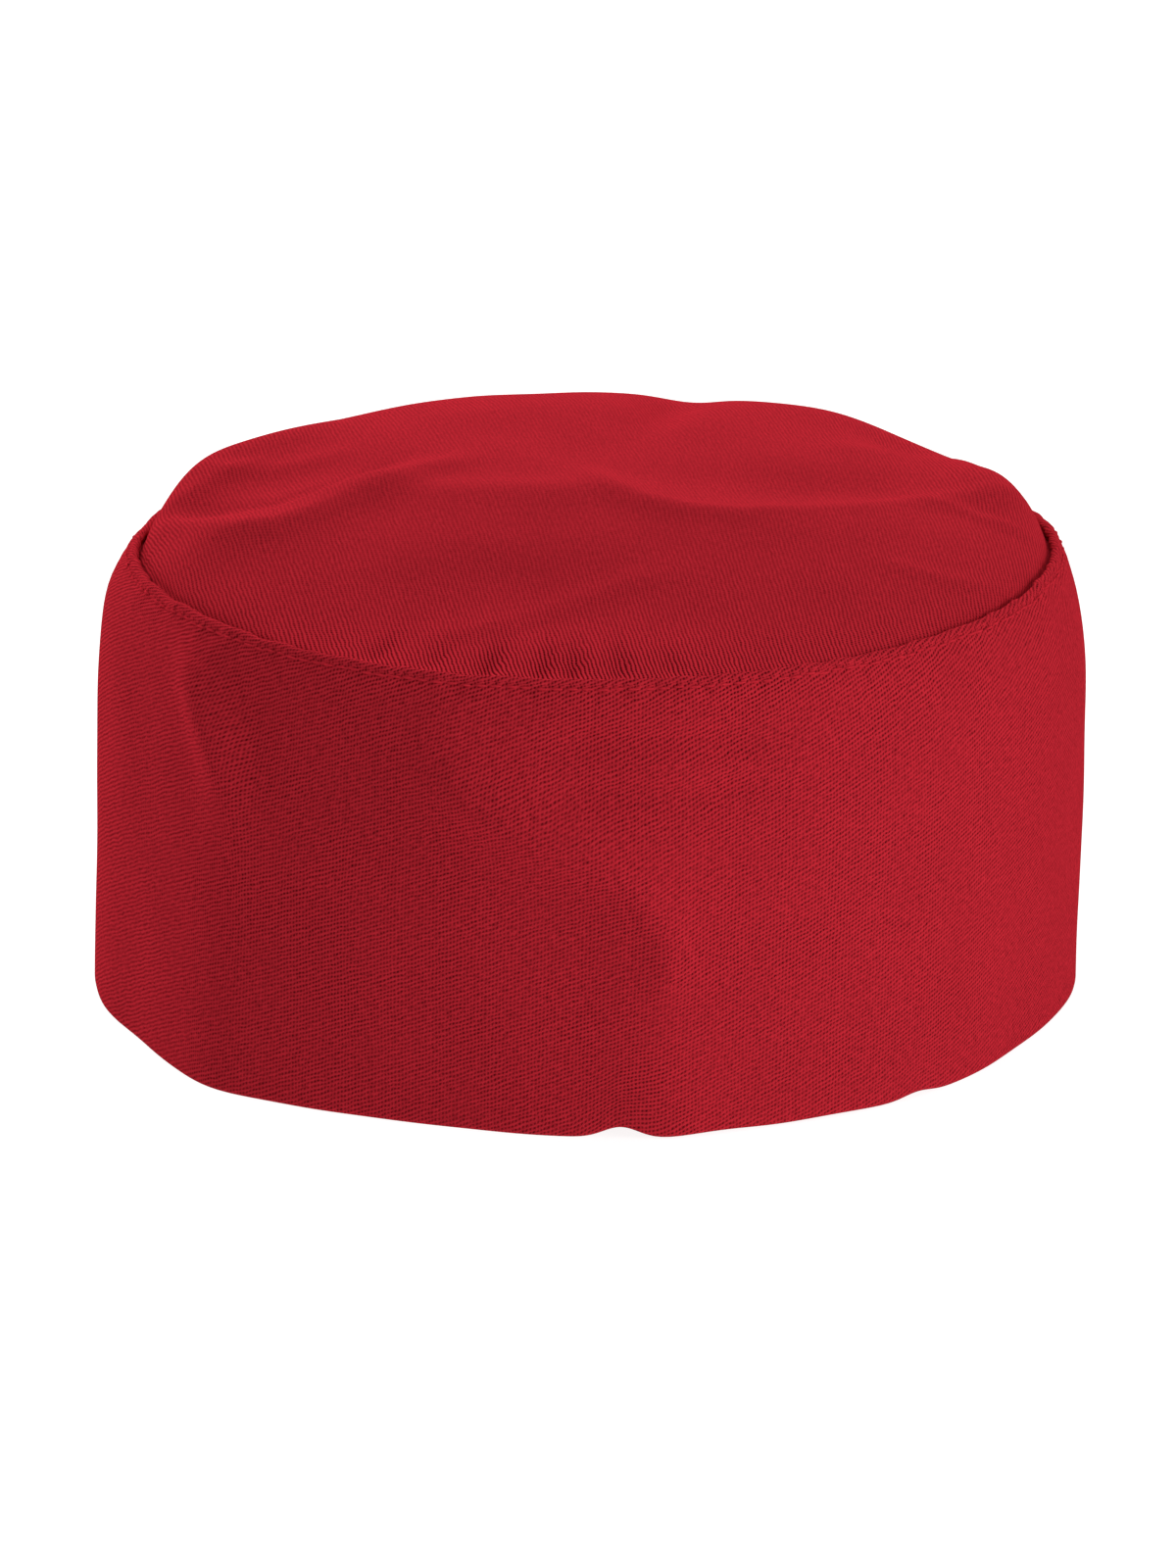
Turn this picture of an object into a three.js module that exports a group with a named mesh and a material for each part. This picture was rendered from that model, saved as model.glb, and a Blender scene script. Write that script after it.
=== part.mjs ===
// A low round chef hat of red twill: a tall side band, folded double, and a soft crown that is sewn
// inside the band's top edge. Millimetres, +Z up. The origin lies on the table under the middle of
// the hat, and the front faces -Y. An angle round the hat is in degrees from the front, + to the right.
import * as THREE from "three";

// Driving sizes of the side band
const BAND_RADIUS = 94.9; // outside of the band at half height
const BAND_HEIGHT = 88; // from the table to the turned top edge
const BAND_WALL = 1.8; // twill folded double
const EDGE_ROUND = 0.5; // how far the turned top edge rounds up
const SHOULDER_START = 42; // height where the band begins to draw in
const SHOULDER_IN = 6.2; // how far it has drawn in at the top edge, at the sides
const SHOULDER_POWER = 4; // a higher power draws it in later and faster
const EDGE_OVAL = 1; // how much less it draws in at the front and back
const RIM_LEAN = -0.9; // sideways place of the rim's middle
const EDGE_LEAN = 0.95; // sideways place of the top edge's middle
const FOLD_CALM = 4.5; // the band's folds die out this near its sewn top edge

// Driving sizes of the crown
const CROWN_WALL = 1.1; // one layer of twill
const CROWN_RISE = 14.5; // middle of the crown above its seam
const DOME_POWER = 2.6; // a higher power makes the top flatter
const DOME_ROUND = 0.52; // a lower power makes the crown rise more steeply at its seam
const FRONT_EASE = 0.34; // added to that power at the front, where the crown slopes down evenly
const FRONT_WIDTH = 70; // half width of that slope, in degrees
const SEAM_DROP = 0.8; // seam below the band's top edge
const SEAM_GAP = 0.3; // between the crown's turned-down edge and the band
const SKIRT = 4.5; // length of that turned-down edge
const SKIRT_LEAN = 0.6; // how far its lower end stands in from the band
const FOLD_SETTLE = 22; // folds die out towards the seam, later with a higher power
const GATHER_SETTLE = 40; // gathers reach closer to the seam than folds
const GATHER_INSET = 2; // distance from the seam where a gather is deepest

// How finely each face is divided
const BAND_SEGMENTS = 120;
const BAND_ROWS = 11;
const BAND_CROWDING = 1.25; // rows lie closer together towards the top edge
const CROWN_SEGMENTS = 96;
const CROWN_ROWS = 12;
const CROWN_CROWDING = 1.5; // rows lie closer together towards the seam
const SKIRT_ROWS = 2;

const TWILL_RED = 0xa8202c;
const TWILL_ROUGHNESS = 0.9;

// Soft waves of the rim: middle and half width in degrees, push out (+) or in (-), and the height
// over which the wave fades.
const RIM_WAVES = [
  { angle: -68, width: 9, push: -1.4, reach: 40 },
  { angle: -47, width: 8, push: 2.2, reach: 40 },
  { angle: -20, width: 17, push: -2.8, reach: 34 },
  { angle: 66, width: 15, push: -2.2, reach: 34 },
  { angle: 128, width: 14, push: -1.6, reach: 30 },
  { angle: 168, width: 10, push: -1.2, reach: 22 },
  { angle: -142, width: 16, push: -1.8, reach: 30 },
];

// Places where the rim lifts off the table a little, and the height over which the lift fades.
const RIM_LIFTS = [
  { angle: 4, width: 2.8, lift: 2.2, reach: 12 },
  { angle: 15, width: 6, lift: 0.6, reach: 14 },
  { angle: 29, width: 7, lift: 0.5, reach: 14 },
  { angle: 41.5, width: 3, lift: 0.9, reach: 10 },
];

// Dips of the top edge, where the soft band sinks a little.
const EDGE_DIPS = [
  { angle: -115, width: 28, drop: 2.6 },
  { angle: 118, width: 26, drop: 2.4 },
  { angle: 180, width: 40, drop: 2.6 },
];
const EDGE_DIP_POWER = 4; // a higher power keeps a dip nearer the top edge

// Folds of the band: ridges (+) and hollows (-). Each has its middle as an angle and a height, its
// slant in degrees as seen from outside, its half length, its half width and its push.
const BAND_FOLDS = [
  { angle: -6.5, height: 60, along: -26, length: 24, width: 8, push: 3.8 },
  { angle: -17, height: 76, along: -75, length: 12, width: 8, push: 1.2 },
  { angle: 8, height: 28, along: -84, length: 34, width: 11, push: 2.4 },
  { angle: -32, height: 66, along: -25, length: 26, width: 13, push: -1.6 },
  { angle: -51, height: 76, along: -54, length: 17, width: 7, push: 3.8 },
  { angle: -46.5, height: 60, along: -86, length: 16, width: 7, push: 1.8 },
  { angle: -63, height: 60, along: -70, length: 20, width: 9, push: -0.8 },
  { angle: -92, height: 80, along: 0, length: 30, width: 9, push: 0.8 },
  { angle: 122, height: 62, along: 55, length: 26, width: 9, push: 1.6 },
  { angle: 178, height: 50, along: 70, length: 26, width: 14, push: 3 },
  { angle: -150, height: 58, along: -60, length: 26, width: 10, push: 1.6 },
];

// Folds of the crown: ridges (+) and hollows (-). Each has its middle, the direction it runs in,
// in degrees from +X, its half length, its half width and its height.
const CROWN_FOLDS = [
  { x: 9, y: -16, along: -48, length: 13, width: 8, height: 0.6 },
  { x: 32, y: -27, along: 0, length: 18, width: 9, height: 0.9 },
  { x: 54, y: -20, along: 38, length: 17, width: 9, height: 1 },
  { x: -14, y: -16, along: 0, length: 26, width: 12, height: 1.6 },
  { x: -15, y: -58, along: 0, length: 26, width: 15, height: -1.8 },
  { x: 71, y: 6, along: 45, length: 14, width: 7, height: 1 },
  { x: -70, y: -22, along: -10, length: 15, width: 9, height: 1.7 },
  { x: -45, y: -9, along: 42, length: 22, width: 8, height: 2.4 },
  { x: -12, y: 5, along: -42, length: 20, width: 11, height: 0.9 },
  { x: 44, y: -4, along: 12, length: 30, width: 12, height: -2 },
  { x: -60, y: 4, along: 25, length: 18, width: 9, height: -1 },
  { x: 0, y: -66, along: 0, length: 75, width: 24, height: -3.4 },
  { x: -10, y: 40, along: 0, length: 45, width: 25, height: 2.4 },
  { x: -60, y: 34, along: 40, length: 22, width: 8, height: 2.3 },
  { x: -78, y: 20, along: 75, length: 20, width: 10, height: 4 },
  { x: 82, y: 14, along: 105, length: 17, width: 11.5, height: 4 },
  { x: 60, y: 39, along: 110, length: 14, width: 9, height: -2.8 },
  { x: -17, y: -47, along: 0, length: 12, width: 7, height: -0.8 },
  { x: -45, y: 45, along: 20, length: 14, width: 12, height: -0.8 },
  { x: 15, y: 48, along: 80, length: 26, width: 7, height: -3.2 },
  { x: 46, y: 52, along: -30, length: 18, width: 11, height: 1.3 },
];

// Small gathers of the crown at its seam: middle and half width in degrees, depth, and how far each
// runs in from the seam.
const GATHERS = [
  { angle: -29, width: 1.6, depth: 0.7, reach: 9 },
  { angle: -21, width: 1.5, depth: 0.5, reach: 8 },
  { angle: -13.5, width: 1.5, depth: 1.1, reach: 9 },
  { angle: -6.4, width: 1.3, depth: 1.1, reach: 9 },
  { angle: -2.8, width: 1.2, depth: 1, reach: 9 },
  { angle: 3.4, width: 1.4, depth: 0.8, reach: 9 },
  { angle: 10, width: 1.5, depth: 0.4, reach: 7 },
];

// A soft bump that is 1 at its middle.
function bump(distance, width) {
  return Math.exp(-((distance / width) ** 2));
}

// A long soft bump of a fold, at an offset to the right of its middle and up from it.
function longBump(right, up, { along, length, width }) {
  const slant = THREE.MathUtils.degToRad(along);
  const run = right * Math.cos(slant) + up * Math.sin(slant);
  const across = up * Math.cos(slant) - right * Math.sin(slant);
  return bump(run, length) * bump(across, width);
}

// The signed way round from one angle to another, at most half a turn.
function turnTo(angle, middle) {
  return THREE.MathUtils.euclideanModulo(angle - middle + 180, 360) - 180;
}

function total(rows, amount) {
  return rows.reduce((sum, row) => sum + amount(row), 0);
}

// How far the band has drawn in at a height.
function shoulder(angle, height) {
  const share = Math.max(0, (height - SHOULDER_START) / (BAND_HEIGHT - SHOULDER_START));
  const frontness = Math.cos(THREE.MathUtils.degToRad(angle)) ** 2;
  return (SHOULDER_IN - EDGE_OVAL * frontness) * share ** SHOULDER_POWER;
}

// Outside of the band with its rim waves and folds.
function bandRadius(angle, height) {
  const waves = total(
    RIM_WAVES,
    (w) => w.push * bump(turnTo(angle, w.angle), w.width) * bump(height, w.reach),
  );
  const folds = total(BAND_FOLDS, (f) => {
    const right = THREE.MathUtils.degToRad(turnTo(angle, f.angle)) * BAND_RADIUS;
    return f.push * longBump(right, height - f.height, f);
  });
  const calm = 1 - bump(height - BAND_HEIGHT, FOLD_CALM);
  return BAND_RADIUS - shoulder(angle, height) + waves + calm * folds;
}

function edgeDip(angle) {
  return total(EDGE_DIPS, (d) => d.drop * bump(turnTo(angle, d.angle), d.width));
}

function rimLift(angle, height) {
  return total(RIM_LIFTS, (r) => r.lift * bump(turnTo(angle, r.angle), r.width) * bump(height, r.reach));
}

// A point at a radius and height of the upright hat, moved with the lean, dips and lifts of the band.
function placed(angle, radius, height) {
  const turned = THREE.MathUtils.degToRad(angle);
  const share = Math.min(1, height / BAND_HEIGHT);
  return new THREE.Vector3(
    THREE.MathUtils.lerp(RIM_LEAN, EDGE_LEAN, share) + radius * Math.sin(turned),
    -radius * Math.cos(turned),
    height - edgeDip(angle) * share ** EDGE_DIP_POWER + rimLift(angle, height),
  );
}

// Inside of the band's sewn edge, with the gap to the crown's turned-down edge, at a height.
function seamRadius(angle, height) {
  const slope = shoulder(angle, height) - shoulder(angle, height - 1);
  return BAND_RADIUS - shoulder(angle, height) - (BAND_WALL + SEAM_GAP) * Math.hypot(1, slope);
}

function foldHeight(x, y) {
  return total(CROWN_FOLDS, (f) => f.height * longBump(x - f.x, y - f.y, f));
}

function gatherDepth(angle, inset) {
  return total(
    GATHERS,
    (g) => g.depth * bump(turnTo(angle, g.angle), g.width) * bump(inset - GATHER_INSET, g.reach),
  );
}

// A point of the crown's outer face: share 0 is its middle and share 1 its seam.
function crownPoint(angle, share) {
  const edge = seamRadius(angle, BAND_HEIGHT);
  const ease = DOME_ROUND + FRONT_EASE * bump(turnTo(angle, 0), FRONT_WIDTH);
  const dome = CROWN_RISE * (1 - share ** DOME_POWER) ** ease;
  const point = placed(angle, share * edge, BAND_HEIGHT);
  const folds = foldHeight(point.x, point.y) * (1 - share ** FOLD_SETTLE);
  const gathers = gatherDepth(angle, (1 - share) * edge) * (1 - share ** GATHER_SETTLE);
  const dip = edgeDip(angle) * share ** FOLD_SETTLE;
  point.z = BAND_HEIGHT - SEAM_DROP + dome + folds - gathers - dip;
  return point;
}

// A point of the crown's edge where it is turned down inside the band.
function skirtPoint(angle, share) {
  const height = BAND_HEIGHT - SEAM_DROP - SKIRT * share;
  return placed(angle, seamRadius(angle, height) - SKIRT_LEAN * share, height);
}

function ring(segments, pointAt) {
  return Array.from({ length: segments }, (_, i) => pointAt((360 * i) / segments));
}

// Faces between rows of points; each row runs round the hat and lies outside or below the one before.
function stripFaces(rows) {
  return rows.slice(1).flatMap((row, j) =>
    row.flatMap((_, i) => {
      const next = (i + 1) % row.length;
      const above = rows[j];
      return [above[i], row[i], row[next], above[i], row[next], above[next]];
    }),
  );
}

// The closed solid of a sheet of cloth: its outer face, that face moved in by the wall, and its edges.
// The rows run from the top down. A sheet with a pole is closed there, and one without has a top edge.
function clothSolid(rows, wall, { pole, edgeRound = 0, flatRim = false }) {
  const count = rows[0].length;
  const numbered = (first) => rows.map((row, j) => row.map((_, i) => first + j * count + i));
  const cap = (center, row) => row.flatMap((v, i) => [center, v, row[(i + 1) % count]]);
  const points = pole ? [...rows.flat(), pole] : rows.flat();
  const outer = numbered(0);
  const faces = stripFaces(outer);
  if (pole) faces.push(...cap(points.length - 1, outer[0]));

  const sheet = new THREE.BufferGeometry().setFromPoints(points).setIndex(faces);
  sheet.computeVertexNormals();
  const normals = points.map((_, k) => new THREE.Vector3().fromBufferAttribute(sheet.attributes.normal, k));
  if (flatRim) outer.at(-1).forEach((k) => normals[k].setZ(0).normalize());
  const inside = points.map((p, k) => p.clone().addScaledVector(normals[k], -wall));
  const inner = numbered(points.length);
  const inward = faces.toReversed().map((k) => k + points.length);
  const solidPoints = [...points, ...inside];
  const solidFaces = [...faces, ...inward, ...stripFaces([outer.at(-1), inner.at(-1)])];
  if (!pole) {
    const crest = outer[0].map((k) => {
      const middle = points[k].clone().lerp(inside[k], 0.5);
      middle.z = Math.max(points[k].z, inside[k].z) + edgeRound;
      return solidPoints.push(middle) - 1;
    });
    solidFaces.push(...stripFaces([inner[0], crest, outer[0]]));
  }
  return new THREE.BufferGeometry().setFromPoints(solidPoints).setIndex(solidFaces);
}

function sideBand() {
  const top = BAND_HEIGHT - EDGE_ROUND;
  const rows = Array.from({ length: BAND_ROWS + 1 }, (_, j) => {
    const height = top * (1 - (j / BAND_ROWS) ** BAND_CROWDING);
    return ring(BAND_SEGMENTS, (angle) => placed(angle, bandRadius(angle, height), height));
  });
  return clothSolid(rows, BAND_WALL, { edgeRound: EDGE_ROUND, flatRim: true });
}

function crown() {
  const dome = Array.from({ length: CROWN_ROWS }, (_, j) => {
    const share = 1 - (1 - (j + 1) / CROWN_ROWS) ** CROWN_CROWDING;
    return ring(CROWN_SEGMENTS, (angle) => crownPoint(angle, share));
  });
  const skirt = Array.from({ length: SKIRT_ROWS }, (_, j) =>
    ring(CROWN_SEGMENTS, (angle) => skirtPoint(angle, (j + 1) / SKIRT_ROWS)),
  );
  return clothSolid([...dome, ...skirt], CROWN_WALL, { pole: crownPoint(0, 0) });
}

// Each piece is its own mesh with its own twill.
function piece(name, geometry) {
  const material = new THREE.MeshStandardMaterial({
    color: TWILL_RED,
    roughness: TWILL_ROUGHNESS,
    metalness: 0,
  });
  const mesh = new THREE.Mesh(geometry, material);
  mesh.name = name;
  return mesh;
}

const chefHat = new THREE.Group();
chefHat.add(piece("side_band", sideBand()));
chefHat.add(piece("crown", crown()));

export default chefHat;
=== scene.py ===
"""The looks of a low round chef hat of red twill: side band and crown as fine cloth, and topstitching.

An angle round the hat is in degrees from the front, which is -Y, and + goes to the right.
Shapes are worked out in millimetres and become metres where a mesh is made.
"""
import math
from typing import NamedTuple

import bpy
import numpy as np
from bpy.props import FloatProperty, FloatVectorProperty, PointerProperty
from bpy.types import Operator, Panel, PropertyGroup
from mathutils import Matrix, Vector


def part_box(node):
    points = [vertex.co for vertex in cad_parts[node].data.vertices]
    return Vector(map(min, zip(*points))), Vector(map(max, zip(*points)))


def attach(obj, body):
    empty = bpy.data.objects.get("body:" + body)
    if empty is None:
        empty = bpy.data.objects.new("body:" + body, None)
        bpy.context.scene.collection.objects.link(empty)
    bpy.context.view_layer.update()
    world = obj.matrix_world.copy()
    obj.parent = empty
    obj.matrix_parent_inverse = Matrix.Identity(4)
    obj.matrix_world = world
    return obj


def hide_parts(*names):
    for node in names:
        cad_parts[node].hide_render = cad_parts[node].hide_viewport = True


bl_info = {
    "name": "Chef hat",
    "version": (1, 0, 0),
    "blender": (4, 5, 0),
    "location": "3D View > Sidebar > Chef hat",
    "description": "Makes a low round chef hat of red twill and a small studio around it",
    "category": "Object",
}

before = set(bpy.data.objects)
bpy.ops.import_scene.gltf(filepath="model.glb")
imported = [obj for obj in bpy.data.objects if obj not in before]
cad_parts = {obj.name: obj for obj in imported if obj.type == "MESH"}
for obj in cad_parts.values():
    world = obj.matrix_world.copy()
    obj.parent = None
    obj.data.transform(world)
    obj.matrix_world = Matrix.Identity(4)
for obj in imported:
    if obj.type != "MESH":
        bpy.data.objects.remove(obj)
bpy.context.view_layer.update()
BAND_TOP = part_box("side_band")[1].z

MM = 0.001

# Powers and distances that shape the band and the crown, as in the solids
SHOULDER_POWER = 4
EDGE_DIP_POWER = 4
FOLD_CALM = 4.5
DOME_POWER = 2.6
DOME_ROUND = 0.52
FRONT_EASE = 0.34
FRONT_WIDTH = 70
FOLD_SETTLE = 22
GATHER_SETTLE = 40
GATHER_INSET = 2

# Distances over which fine creases and unevenness die out, at a crease's ends and near the top edge
CREASE_FADE = 14
CREASE_CALM = 3.2
RIPPLE_CALM = 6
WOBBLE_REACH = 4

# The groove that the topstitching draws in, deeper at each needle hole, and the swell below it
GROOVE_WIDTH = 0.6
GROOVE_DEPTH = 0.06
HOLE_DEPTH = 0.08
SWELL_HEIGHT = 0.12
SWELL_BELOW = 2
SWELL_WIDTH = 1.4
PUCKER_WIDTH = 2.6


class Unevenness(NamedTuple):
    """Soft chance ups and downs: their seed, their shortest and longest wave, and their height."""

    seed: int
    shortest: float
    longest: float
    height: float


BAND_RIPPLE = Unevenness(seed=11, shortest=18, longest=70, height=0.16)
CROWN_RIPPLE = Unevenness(seed=23, shortest=16, longest=60, height=0.16)
EDGE_WOBBLE = Unevenness(seed=37, shortest=5, longest=18, height=0.22)
SEAM_PUCKER = Unevenness(seed=31, shortest=3.5, longest=9, height=0.2)
RIPPLE_WAVES = 28


class RimWave(NamedTuple):
    """A soft wave of the rim: middle and half width in degrees, push out or in, and height it fades over."""

    angle: float
    width: float
    push: float
    reach: float


RIM_WAVES = [
    RimWave(angle=-68, width=9, push=-1.4, reach=40),
    RimWave(angle=-47, width=8, push=2.2, reach=40),
    RimWave(angle=-20, width=17, push=-2.8, reach=34),
    RimWave(angle=66, width=15, push=-2.2, reach=34),
    RimWave(angle=128, width=14, push=-1.6, reach=30),
    RimWave(angle=168, width=10, push=-1.2, reach=22),
    RimWave(angle=-142, width=16, push=-1.8, reach=30),
]


class RimLift(NamedTuple):
    """A place where the rim lifts a little: middle and half width in degrees, lift, height it fades over."""

    angle: float
    width: float
    lift: float
    reach: float


RIM_LIFTS = [
    RimLift(angle=4, width=2.8, lift=2.2, reach=12),
    RimLift(angle=15, width=6, lift=0.6, reach=14),
    RimLift(angle=29, width=7, lift=0.5, reach=14),
    RimLift(angle=41.5, width=3, lift=0.9, reach=10),
]


class EdgeDip(NamedTuple):
    """A place where the top edge sinks a little: middle and half width in degrees, and drop."""

    angle: float
    width: float
    drop: float


EDGE_DIPS = [
    EdgeDip(angle=-115, width=28, drop=2.6),
    EdgeDip(angle=118, width=26, drop=2.4),
    EdgeDip(angle=180, width=40, drop=2.6),
]


class BandFold(NamedTuple):
    """A ridge (+) or hollow (-) of the band: its middle, its slant, half length, half width and push."""

    angle: float
    height: float
    along: float
    length: float
    width: float
    push: float


BAND_FOLDS = [
    BandFold(angle=-6.5, height=60, along=-26, length=24, width=8, push=3.8),
    BandFold(angle=-17, height=76, along=-75, length=12, width=8, push=1.2),
    BandFold(angle=8, height=28, along=-84, length=34, width=11, push=2.4),
    BandFold(angle=-32, height=66, along=-25, length=26, width=13, push=-1.6),
    BandFold(angle=2, height=73, along=-3, length=30, width=4, push=-0.5),
    BandFold(angle=-51, height=76, along=-54, length=17, width=7, push=3.8),
    BandFold(angle=-46.5, height=60, along=-86, length=16, width=7, push=1.8),
    BandFold(angle=-63, height=60, along=-70, length=20, width=9, push=-0.8),
    BandFold(angle=-92, height=80, along=0, length=30, width=9, push=0.8),
    BandFold(angle=122, height=62, along=55, length=26, width=9, push=1.6),
    BandFold(angle=178, height=50, along=70, length=26, width=14, push=3),
    BandFold(angle=-150, height=58, along=-60, length=26, width=10, push=1.6),
]


class CrownFold(NamedTuple):
    """A ridge (+) or hollow (-) of the crown: middle, direction from +X, half length and width, height."""

    x: float
    y: float
    along: float
    length: float
    width: float
    height: float


CROWN_FOLDS = [
    CrownFold(x=9, y=-16, along=-48, length=13, width=8, height=0.6),
    CrownFold(x=32, y=-27, along=0, length=18, width=9, height=0.9),
    CrownFold(x=54, y=-20, along=38, length=17, width=9, height=1),
    CrownFold(x=-14, y=-16, along=0, length=26, width=12, height=1.6),
    CrownFold(x=-15, y=-58, along=0, length=26, width=15, height=-1.8),
    CrownFold(x=71, y=6, along=45, length=14, width=7, height=1),
    CrownFold(x=-70, y=-22, along=-10, length=15, width=9, height=1.7),
    CrownFold(x=-45, y=-9, along=42, length=22, width=8, height=2.4),
    CrownFold(x=-12, y=5, along=-42, length=20, width=11, height=0.9),
    CrownFold(x=44, y=-4, along=12, length=30, width=12, height=-2),
    CrownFold(x=-60, y=4, along=25, length=18, width=9, height=-1),
    CrownFold(x=0, y=-66, along=0, length=75, width=24, height=-3.4),
    CrownFold(x=-10, y=40, along=0, length=45, width=25, height=2.4),
    CrownFold(x=-60, y=34, along=40, length=22, width=8, height=2.3),
    CrownFold(x=-78, y=20, along=75, length=20, width=10, height=4),
    CrownFold(x=82, y=14, along=105, length=17, width=11.5, height=4),
    CrownFold(x=60, y=39, along=110, length=14, width=9, height=-2.8),
    CrownFold(x=-17, y=-47, along=0, length=12, width=7, height=-0.8),
    CrownFold(x=-45, y=45, along=20, length=14, width=12, height=-0.8),
    CrownFold(x=15, y=48, along=80, length=26, width=7, height=-3.2),
    CrownFold(x=46, y=52, along=-30, length=18, width=11, height=1.3),
]


class Crease(NamedTuple):
    """A thin ridge (+) or crease (-) along a line of places, with its half width and height.

    Places are x and y on the crown, and angle and height on the band.
    """

    places: tuple
    width: float
    height: float


CROWN_CREASES = [
    Crease(places=((-93, 14), (-85, 0), (-77, -11), (-69, -22), (-60, -25), (-50, -20), (-41, -13), (-32, -3),
                   (-19, 9)), width=4, height=1.1),
    Crease(places=((-2, 2), (3, -13), (9, -21), (18, -25), (29, -26), (40, -22), (52, -16), (65, -5), (80, 6),
                   (93, 15)), width=4, height=1.1),
    Crease(places=((58, -6), (70, -7), (76, -9), (83, -8), (96, -5)), width=2.6, height=0.7),
    Crease(places=((48, -38), (60, -40), (70, -40), (80, -35), (92, -28)), width=2.8, height=0.5),
    Crease(places=((-34, -70), (-22, -66), (-8, -60), (0, -56), (9, -51), (20, -46)), width=3.6, height=0.6),
    Crease(places=((-94, 14), (-82, 8), (-77, 7), (-72, 11), (-66, 17), (-56, 26)), width=3, height=0.5),
    Crease(places=((-86, 8), (-73, -4), (-61, -8.5), (-50, -4), (-41, 4), (-31, 14)), width=4, height=-0.9),
    Crease(places=((-82, 20), (-70, 15), (-62, 14.5), (-54, 16), (-42, 23)), width=4, height=0.6),
    Crease(places=((-97, 20), (-90, 8), (-83, -3), (-76, -11), (-66, -20)), width=4, height=0.6),
    Crease(places=((-52, -4), (-34, -12), (-24, -15), (-14, -16), (-5, -16), (12, -20)), width=6, height=0.7),
    Crease(places=((38, 22), (50, 22), (60, 26), (70, 30), (82, 36)), width=5, height=0.6),
]
BAND_CREASES = [
    Crease(places=((-81, 85.5), (-71, 84.5), (-61, 82.5), (-52.5, 79), (-47, 70.5), (-44.5, 61), (-44, 44)),
           width=4, height=0.6),
    Crease(places=((-76, 88), (-60, 86), (-49, 82.5), (-43, 72), (-41, 56)), width=4, height=-0.9),
    Crease(places=((-18, 76), (-17, 71), (-13.5, 65.5), (-8, 60.5), (0, 56), (5, 50), (8.5, 41), (9.5, 22)),
           width=4, height=1.3),
    Crease(places=((-8, 77), (9, 77), (25, 74)), width=2.4, height=-1.6),
    Crease(places=((-8, 69), (0, 67.5), (11, 66.5), (24, 67.5)), width=2.4, height=-1.4),
]


class Gather(NamedTuple):
    """A small gather of the crown at its seam: middle and half width in degrees, depth, and reach inward."""

    angle: float
    width: float
    depth: float
    reach: float


GATHERS = [
    Gather(angle=-29, width=1.6, depth=1.0, reach=9),
    Gather(angle=-21, width=1.5, depth=0.8, reach=8),
    Gather(angle=-13.8, width=1.5, depth=2.0, reach=10),
    Gather(angle=-6.8, width=1.4, depth=1.9, reach=10),
    Gather(angle=-3, width=1.3, depth=1.8, reach=9),
    Gather(angle=3, width=1.4, depth=1.4, reach=9),
    Gather(angle=9.5, width=1.6, depth=0.8, reach=8),
]


class Sizes(PropertyGroup):
    """Sizes of the hat, in metres."""

    band_radius: FloatProperty(
        name="Band radius", description="Outside of the band at half height", default=0.0949, unit="LENGTH")
    band_height: FloatProperty(
        name="Band height", description="From the table to the turned top edge",
        default=BAND_TOP, unit="LENGTH")
    band_wall: FloatProperty(
        name="Band wall", description="Twill folded double", default=0.0018, unit="LENGTH")
    shoulder_start: FloatProperty(
        name="Shoulder start", description="Height where the band begins to draw in",
        default=0.042, unit="LENGTH")
    shoulder_in: FloatProperty(
        name="Shoulder depth", description="How far the sides have drawn in at the top edge",
        default=0.0062, unit="LENGTH")
    edge_oval: FloatProperty(
        name="Edge oval", description="How much less the front and back draw in",
        default=0.001, unit="LENGTH")
    rim_lean: FloatProperty(
        name="Rim lean", description="Sideways place of the rim's middle", default=-0.0009, unit="LENGTH")
    edge_lean: FloatProperty(
        name="Edge lean", description="Sideways place of the top edge's middle",
        default=0.00095, unit="LENGTH")
    crown_wall: FloatProperty(
        name="Crown wall", description="One layer of twill", default=0.0011, unit="LENGTH")
    crown_rise: FloatProperty(
        name="Crown rise", description="Middle of the crown above its seam", default=0.0145, unit="LENGTH")
    seam_drop: FloatProperty(
        name="Seam drop", description="Seam below the top edge", default=0.0008, unit="LENGTH")
    seam_gap: FloatProperty(
        name="Seam gap", description="Between the crown's turned-down edge and the band",
        default=0.0003, unit="LENGTH")
    skirt: FloatProperty(
        name="Turned edge", description="Length of the crown's turned-down edge",
        default=0.0045, unit="LENGTH")
    skirt_lean: FloatProperty(
        name="Turned edge lean", description="How far its lower end stands in from the band",
        default=0.0006, unit="LENGTH")
    stitch_inset: FloatProperty(
        name="Stitch inset", description="Topstitching below the top edge", default=0.0016, unit="LENGTH")
    stitch_pitch: FloatProperty(
        name="Stitch pitch", description="From one stitch to the next", default=0.0028, unit="LENGTH")
    thread_width: FloatProperty(
        name="Thread width", description="Width of the sewing thread", default=0.0005, unit="LENGTH")


class Colours(PropertyGroup):
    """Colours of the cloth, the thread and the floor."""

    twill: FloatVectorProperty(
        name="Twill", description="Raised yarns of the twill", subtype="COLOR",
        size=3, min=0, max=1, default=(0.475, 0.0181, 0.0302))
    twill_gap: FloatVectorProperty(
        name="Twill gaps", description="Dark gaps between the yarns", subtype="COLOR",
        size=3, min=0, max=1, default=(0.03, 0.0012, 0.002))
    thread: FloatVectorProperty(
        name="Thread", description="Topstitching thread", subtype="COLOR",
        size=3, min=0, max=1, default=(0.58, 0.022, 0.037))
    floor: FloatVectorProperty(
        name="Floor", description="Plain pale floor", subtype="COLOR",
        size=3, min=0, max=1, default=(0.25, 0.25, 0.25))


def bump(distance, width):
    """A soft bump that is 1 at its middle."""
    return np.exp(-((distance / width) ** 2))


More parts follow.
